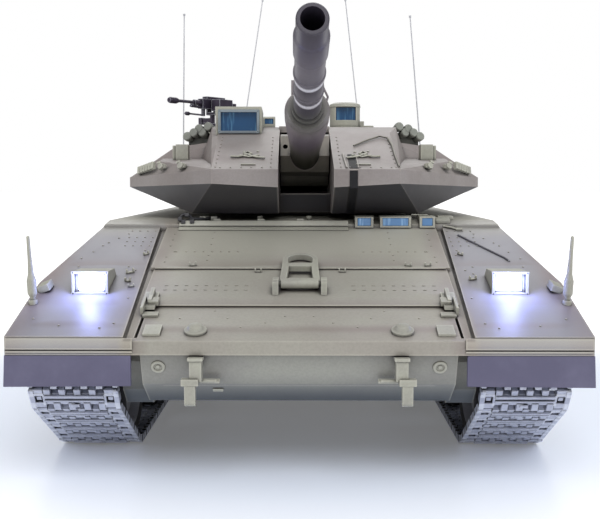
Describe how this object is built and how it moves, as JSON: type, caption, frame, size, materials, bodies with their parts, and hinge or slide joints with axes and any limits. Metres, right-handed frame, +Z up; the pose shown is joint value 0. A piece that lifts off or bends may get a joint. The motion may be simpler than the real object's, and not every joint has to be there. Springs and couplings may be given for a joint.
{
  "type": "radio-controlled model tank",
  "caption": "Radio-controlled scale model of a main battle tank: turning turret, elevating gun, sprung road wheels under side skirts, opening hatches and lit headlights.",
  "frame": {"origin": "on the ground under the middle of the whole vehicle's outline, gun included", "axes": "+Z up, -Y forward along the gun, +X towards the driver's hatch side"},
  "size_m": [0.2368, 0.5454, 0.2696],
  "materials": {
    "armour_paint": "matt warm-grey airbrushed paint with darker mauve-brown shading at the edges",
    "pale_fitting_paint": "matt pale grey-green paint",
    "wheel_paint": "matt grey paint on die-cast metal, with black rims",
    "track_metal": "bare cast metal, worn bright on the edges and dark in the recesses",
    "flap_rubber": "matt purple-grey soft flap",
    "lamp_lens": "clear lens lit white from behind by an LED",
    "blue_glass": "clear tinted window, deep blue",
    "gun_black": "semi-matt purple-black",
    "antenna_wire": "thin pale flexible whip",
    "dark_plastic": "black moulded plastic",
    "battery_wrap": "blue shrink wrap",
    "circuit_board": "green circuit board",
    "motor_metal": "plated motor can and gearbox",
    "screw_steel": "zinc-plated screws"
  },
  "bodies": {
    "root": {"lower_hull": "armour_paint", "upper_hull": "armour_paint", "side_skirts": "armour_paint", "mud_flaps": "flap_rubber", "hull_fittings": "armour_paint", "headlight_lenses": "lamp_lens", "periscope_glass": "blue_glass", "tow_hooks": "armour_paint", "marker_rods": "pale_fitting_paint", "track_left": "track_metal", "track_right": "track_metal", "battery": "battery_wrap", "battery_cover": "armour_paint", "electronics": "circuit_board", "gear_motors": "motor_metal", "hull_screws": "screw_steel"},
    "driver_hatch": {"driver_hatch": "armour_paint"},
    "travel_lock": {"travel_lock": "armour_paint"},
    "rear_door": {"rear_door": "armour_paint"},
    "power_switch": {"power_switch": "dark_plastic"},
    "turret": {"turret_shell": "armour_paint", "turret_ring": "dark_plastic", "turret_fittings": "armour_paint", "sight_glass": "blue_glass", "smoke_launchers": "pale_fitting_paint", "antennas": "antenna_wire", "turret_basket": "armour_paint"},
    "gun": {"gun_mantlet": "armour_paint", "gun_barrel": "armour_paint"},
    "commander_hatch": {"commander_hatch": "armour_paint"},
    "mg_mount": {"mg_mount": "gun_black"},
    "machine_gun": {"machine_gun": "gun_black"},
    "sprocket_left": {"sprocket_left": "wheel_paint"},
    "idler_left": {"idler_left": "wheel_paint"},
    "arm_left_1": {"arm_left_1": "wheel_paint"},
    "wheel_left_1": {"wheel_left_1": "wheel_paint"},
    "arm_left_2": {"arm_left_2": "wheel_paint"},
    "wheel_left_2": {"wheel_left_2": "wheel_paint"},
    "arm_left_3": {"arm_left_3": "wheel_paint"},
    "wheel_left_3": {"wheel_left_3": "wheel_paint"},
    "arm_left_4": {"arm_left_4": "wheel_paint"},
    "wheel_left_4": {"wheel_left_4": "wheel_paint"},
    "arm_left_5": {"arm_left_5": "wheel_paint"},
    "wheel_left_5": {"wheel_left_5": "wheel_paint"},
    "arm_left_6": {"arm_left_6": "wheel_paint"},
    "wheel_left_6": {"wheel_left_6": "wheel_paint"},
    "sprocket_right": {"sprocket_right": "wheel_paint"},
    "idler_right": {"idler_right": "wheel_paint"},
    "arm_right_1": {"arm_right_1": "wheel_paint"},
    "wheel_right_1": {"wheel_right_1": "wheel_paint"},
    "arm_right_2": {"arm_right_2": "wheel_paint"},
    "wheel_right_2": {"wheel_right_2": "wheel_paint"},
    "arm_right_3": {"arm_right_3": "wheel_paint"},
    "wheel_right_3": {"wheel_right_3": "wheel_paint"},
    "arm_right_4": {"arm_right_4": "wheel_paint"},
    "wheel_right_4": {"wheel_right_4": "wheel_paint"},
    "arm_right_5": {"arm_right_5": "wheel_paint"},
    "wheel_right_5": {"wheel_right_5": "wheel_paint"},
    "arm_right_6": {"arm_right_6": "wheel_paint"},
    "wheel_right_6": {"wheel_right_6": "wheel_paint"}
  },
  "joints": [
    {"name": "turret_traverse", "type": "hinge", "parent": "root", "child": "turret", "pos_m": [0, 0.0545, 0.109], "axis": [0, 0, 1], "range_deg": [-160, 160]},
    {"name": "gun_elevation", "type": "hinge", "parent": "turret", "child": "gun", "pos_m": [0.00137, -0.03249, 0.136], "axis": [-0.9999, -0.0157, 0], "range_deg": [-13, 10]},
    {"name": "commander_hatch_lift", "type": "hinge", "parent": "turret", "child": "commander_hatch", "pos_m": [-0.02849, 0.08556, 0.1597], "axis": [-0.9999, -0.0157, 0], "range_deg": [0, 110]},
    {"name": "mg_yaw", "type": "hinge", "parent": "turret", "child": "mg_mount", "pos_m": [-0.05765, 0.03159, 0.165], "axis": [0, 0, 1], "range_deg": [-82, 38]},
    {"name": "mg_pitch", "type": "hinge", "parent": "mg_mount", "child": "machine_gun", "pos_m": [-0.05765, 0.03159, 0.175], "axis": [-0.7976, 0.6032, 0], "range_deg": [-5, 25]},
    {"name": "driver_hatch_swing", "type": "hinge", "parent": "root", "child": "driver_hatch", "pos_m": [0.061, -0.0495, 0.106], "axis": [0, 0, -1], "range_deg": [0, 100]},
    {"name": "travel_lock_lift", "type": "hinge", "parent": "root", "child": "travel_lock", "pos_m": [0, -0.162, 0.0807], "axis": [1, 0, 0], "range_deg": [0, 70]},
    {"name": "rear_door_drop", "type": "hinge", "parent": "root", "child": "rear_door", "pos_m": [0, 0.2677, 0.0515], "axis": [-1, 0, 0], "range_deg": [0, 95]},
    {"name": "power_switch_slide", "type": "slide", "parent": "root", "child": "power_switch", "axis": [1, 0, 0], "range_m": [0, 0.0065]},
    {"name": "sprocket_left_spin", "type": "hinge", "parent": "root", "child": "sprocket_left", "pos_m": [-0.095, -0.1675, 0.0465], "axis": [1, 0, 0], "continuous": true},
    {"name": "idler_left_spin", "type": "hinge", "parent": "root", "child": "idler_left", "pos_m": [-0.095, 0.2295, 0.046], "axis": [1, 0, 0], "continuous": true},
    {"name": "arm_left_1_swing", "type": "hinge", "parent": "root", "child": "arm_left_1", "pos_m": [-0.065, -0.1505, 0.043], "axis": [1, 0, 0], "range_deg": [0, 22], "stiffness_Nm_per_rad": 0.3, "springref_deg": -5.73},
    {"name": "wheel_left_1_spin", "type": "hinge", "parent": "arm_left_1", "child": "wheel_left_1", "pos_m": [-0.095, -0.1275, 0.0292], "axis": [1, 0, 0], "continuous": true},
    {"name": "arm_left_2_swing", "type": "hinge", "parent": "root", "child": "arm_left_2", "pos_m": [-0.065, -0.0895, 0.043], "axis": [1, 0, 0], "range_deg": [0, 22], "stiffness_Nm_per_rad": 0.3, "springref_deg": -5.73},
    {"name": "wheel_left_2_spin", "type": "hinge", "parent": "arm_left_2", "child": "wheel_left_2", "pos_m": [-0.095, -0.0665, 0.0292], "axis": [1, 0, 0], "continuous": true},
    {"name": "arm_left_3_swing", "type": "hinge", "parent": "root", "child": "arm_left_3", "pos_m": [-0.065, -0.0285, 0.043], "axis": [1, 0, 0], "range_deg": [0, 22], "stiffness_Nm_per_rad": 0.3, "springref_deg": -5.73},
    {"name": "wheel_left_3_spin", "type": "hinge", "parent": "arm_left_3", "child": "wheel_left_3", "pos_m": [-0.095, -0.0055, 0.0292], "axis": [1, 0, 0], "continuous": true},
    {"name": "arm_left_4_swing", "type": "hinge", "parent": "root", "child": "arm_left_4", "pos_m": [-0.065, 0.0325, 0.043], "axis": [1, 0, 0], "range_deg": [0, 22], "stiffness_Nm_per_rad": 0.3, "springref_deg": -5.73},
    {"name": "wheel_left_4_spin", "type": "hinge", "parent": "arm_left_4", "child": "wheel_left_4", "pos_m": [-0.095, 0.0555, 0.0292], "axis": [1, 0, 0], "continuous": true},
    {"name": "arm_left_5_swing", "type": "hinge", "parent": "root", "child": "arm_left_5", "pos_m": [-0.065, 0.0935, 0.043], "axis": [1, 0, 0], "range_deg": [0, 22], "stiffness_Nm_per_rad": 0.3, "springref_deg": -5.73},
    {"name": "wheel_left_5_spin", "type": "hinge", "parent": "arm_left_5", "child": "wheel_left_5", "pos_m": [-0.095, 0.1165, 0.0292], "axis": [1, 0, 0], "continuous": true},
    {"name": "arm_left_6_swing", "type": "hinge", "parent": "root", "child": "arm_left_6", "pos_m": [-0.065, 0.1545, 0.043], "axis": [1, 0, 0], "range_deg": [0, 22], "stiffness_Nm_per_rad": 0.3, "springref_deg": -5.73},
    {"name": "wheel_left_6_spin", "type": "hinge", "parent": "arm_left_6", "child": "wheel_left_6", "pos_m": [-0.095, 0.1775, 0.0292], "axis": [1, 0, 0], "continuous": true},
    {"name": "sprocket_right_spin", "type": "hinge", "parent": "root", "child": "sprocket_right", "pos_m": [0.095, -0.1675, 0.0465], "axis": [1, 0, 0], "continuous": true},
    {"name": "idler_right_spin", "type": "hinge", "parent": "root", "child": "idler_right", "pos_m": [0.095, 0.2295, 0.046], "axis": [1, 0, 0], "continuous": true},
    {"name": "arm_right_1_swing", "type": "hinge", "parent": "root", "child": "arm_right_1", "pos_m": [0.065, -0.1505, 0.043], "axis": [1, 0, 0], "range_deg": [0, 22], "stiffness_Nm_per_rad": 0.3, "springref_deg": -5.73},
    {"name": "wheel_right_1_spin", "type": "hinge", "parent": "arm_right_1", "child": "wheel_right_1", "pos_m": [0.095, -0.1275, 0.0292], "axis": [1, 0, 0], "continuous": true},
    {"name": "arm_right_2_swing", "type": "hinge", "parent": "root", "child": "arm_right_2", "pos_m": [0.065, -0.0895, 0.043], "axis": [1, 0, 0], "range_deg": [0, 22], "stiffness_Nm_per_rad": 0.3, "springref_deg": -5.73},
    {"name": "wheel_right_2_spin", "type": "hinge", "parent": "arm_right_2", "child": "wheel_right_2", "pos_m": [0.095, -0.0665, 0.0292], "axis": [1, 0, 0], "continuous": true},
    {"name": "arm_right_3_swing", "type": "hinge", "parent": "root", "child": "arm_right_3", "pos_m": [0.065, -0.0285, 0.043], "axis": [1, 0, 0], "range_deg": [0, 22], "stiffness_Nm_per_rad": 0.3, "springref_deg": -5.73},
    {"name": "wheel_right_3_spin", "type": "hinge", "parent": "arm_right_3", "child": "wheel_right_3", "pos_m": [0.095, -0.0055, 0.0292], "axis": [1, 0, 0], "continuous": true},
    {"name": "arm_right_4_swing", "type": "hinge", "parent": "root", "child": "arm_right_4", "pos_m": [0.065, 0.0325, 0.043], "axis": [1, 0, 0], "range_deg": [0, 22], "stiffness_Nm_per_rad": 0.3, "springref_deg": -5.73},
    {"name": "wheel_right_4_spin", "type": "hinge", "parent": "arm_right_4", "child": "wheel_right_4", "pos_m": [0.095, 0.0555, 0.0292], "axis": [1, 0, 0], "continuous": true},
    {"name": "arm_right_5_swing", "type": "hinge", "parent": "root", "child": "arm_right_5", "pos_m": [0.065, 0.0935, 0.043], "axis": [1, 0, 0], "range_deg": [0, 22], "stiffness_Nm_per_rad": 0.3, "springref_deg": -5.73},
    {"name": "wheel_right_5_spin", "type": "hinge", "parent": "arm_right_5", "child": "wheel_right_5", "pos_m": [0.095, 0.1165, 0.0292], "axis": [1, 0, 0], "continuous": true},
    {"name": "arm_right_6_swing", "type": "hinge", "parent": "root", "child": "arm_right_6", "pos_m": [0.065, 0.1545, 0.043], "axis": [1, 0, 0], "range_deg": [0, 22], "stiffness_Nm_per_rad": 0.3, "springref_deg": -5.73},
    {"name": "wheel_right_6_spin", "type": "hinge", "parent": "arm_right_6", "child": "wheel_right_6", "pos_m": [0.095, 0.1775, 0.0292], "axis": [1, 0, 0], "continuous": true}
  ],
  "couplings": [
    {"joint": "idler_left_spin", "follows": "sprocket_left_spin", "ratio": 1},
    {"joint": "wheel_left_1_spin", "follows": "sprocket_left_spin", "ratio": 0.7963},
    {"joint": "wheel_left_2_spin", "follows": "sprocket_left_spin", "ratio": 0.7963},
    {"joint": "wheel_left_3_spin", "follows": "sprocket_left_spin", "ratio": 0.7963},
    {"joint": "wheel_left_4_spin", "follows": "sprocket_left_spin", "ratio": 0.7963},
    {"joint": "wheel_left_5_spin", "follows": "sprocket_left_spin", "ratio": 0.7963},
    {"joint": "wheel_left_6_spin", "follows": "sprocket_left_spin", "ratio": 0.7963},
    {"joint": "idler_right_spin", "follows": "sprocket_right_spin", "ratio": 1},
    {"joint": "wheel_right_1_spin", "follows": "sprocket_right_spin", "ratio": 0.7963},
    {"joint": "wheel_right_2_spin", "follows": "sprocket_right_spin", "ratio": 0.7963},
    {"joint": "wheel_right_3_spin", "follows": "sprocket_right_spin", "ratio": 0.7963},
    {"joint": "wheel_right_4_spin", "follows": "sprocket_right_spin", "ratio": 0.7963},
    {"joint": "wheel_right_5_spin", "follows": "sprocket_right_spin", "ratio": 0.7963},
    {"joint": "wheel_right_6_spin", "follows": "sprocket_right_spin", "ratio": 0.7963}
  ]
}
